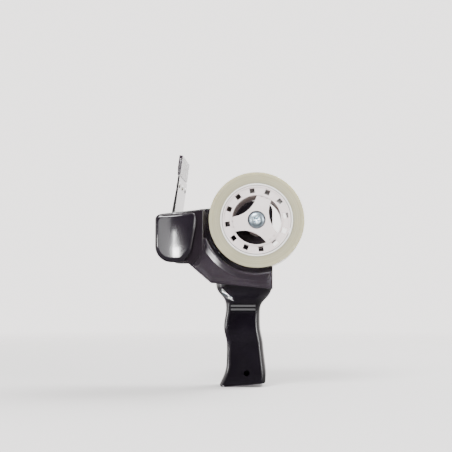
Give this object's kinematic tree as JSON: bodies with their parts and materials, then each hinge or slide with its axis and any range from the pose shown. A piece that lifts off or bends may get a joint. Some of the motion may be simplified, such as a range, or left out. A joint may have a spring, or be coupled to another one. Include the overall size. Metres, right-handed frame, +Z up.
{
  "type": "tape gun dispenser",
  "caption": "Small pistol-grip tape gun: one roll of clear packing tape on a braked spindle, a tack roller and a guarded serrated blade.",
  "frame": {"origin": "where the spindle axis meets the outer face of the side plate", "axes": "+X from the cutting head towards the roll, +Y out of the side plate (the open side faces -Y), +Z up with the grip below"},
  "size_m": [0.0814, 0.0573, 0.1279],
  "materials": {
    "black_plastic": "moulded ABS, satin gloss",
    "shield_plastic": "polished ABS",
    "guard_plastic": "smoke-tinted clear PVC, dark along its cut edges",
    "roller_plastic": "moulded nylon",
    "roller_rubber": "ground rubber",
    "white_plastic": "moulded polypropylene, satin",
    "drag_plastic": "nylon",
    "core_plastic": "thin moulded polystyrene",
    "clear_tape": "wound clear film, satin sides",
    "zinc_screw": "zinc plated",
    "black_screw": "black oxide",
    "plate_steel": "bright rolled sheet",
    "blade_steel": "ground",
    "rivet_metal": "satin",
    "axle_steel": "drawn bar",
    "spring_steel": "drawn wire"
  },
  "bodies": {
    "frame": {"side_frame": "black_plastic", "grip_shell_near": "black_plastic", "grip_shell_far": "black_plastic", "grip_screw": "black_screw", "cheek_plate": "black_plastic", "cheek_screws": "black_screw", "head_shield": "shield_plastic", "blade_base": "black_plastic", "blade_plate": "plate_steel", "serrated_blade": "blade_steel", "blade_rivets": "rivet_metal", "guide_bar": "axle_steel", "roller_axle": "axle_steel", "roller_washers": "white_plastic", "hub_screw": "zinc_screw", "hub_washer": "zinc_screw", "drag_spring": "spring_steel", "drag_washer": "drag_plastic"},
    "hub": {"hub_wheel": "white_plastic"},
    "roll": {"tape_core": "core_plastic", "tape_roll": "clear_tape"},
    "roller": {"roller_core": "roller_plastic", "roller_sleeve": "roller_rubber"},
    "guard": {"blade_guard": "guard_plastic"}
  },
  "joints": [
    {"name": "hub_spin", "type": "hinge", "parent": "frame", "child": "hub", "pos_m": [0, -0.0264, 0], "axis": [0, -1, 0], "continuous": true},
    {"name": "roll_slide", "type": "slide", "parent": "hub", "child": "roll", "axis": [0, -1, 0], "range_m": [0, 0.06]},
    {"name": "roller_spin", "type": "hinge", "parent": "frame", "child": "roller", "pos_m": [-0.0469, -0.0264, -0.0141], "axis": [0, -1, 0], "continuous": true},
    {"name": "guard_slide", "type": "slide", "parent": "frame", "child": "guard", "axis": [0.1383, 0, 0.9904], "range_m": [0, 0.014]}
  ]
}
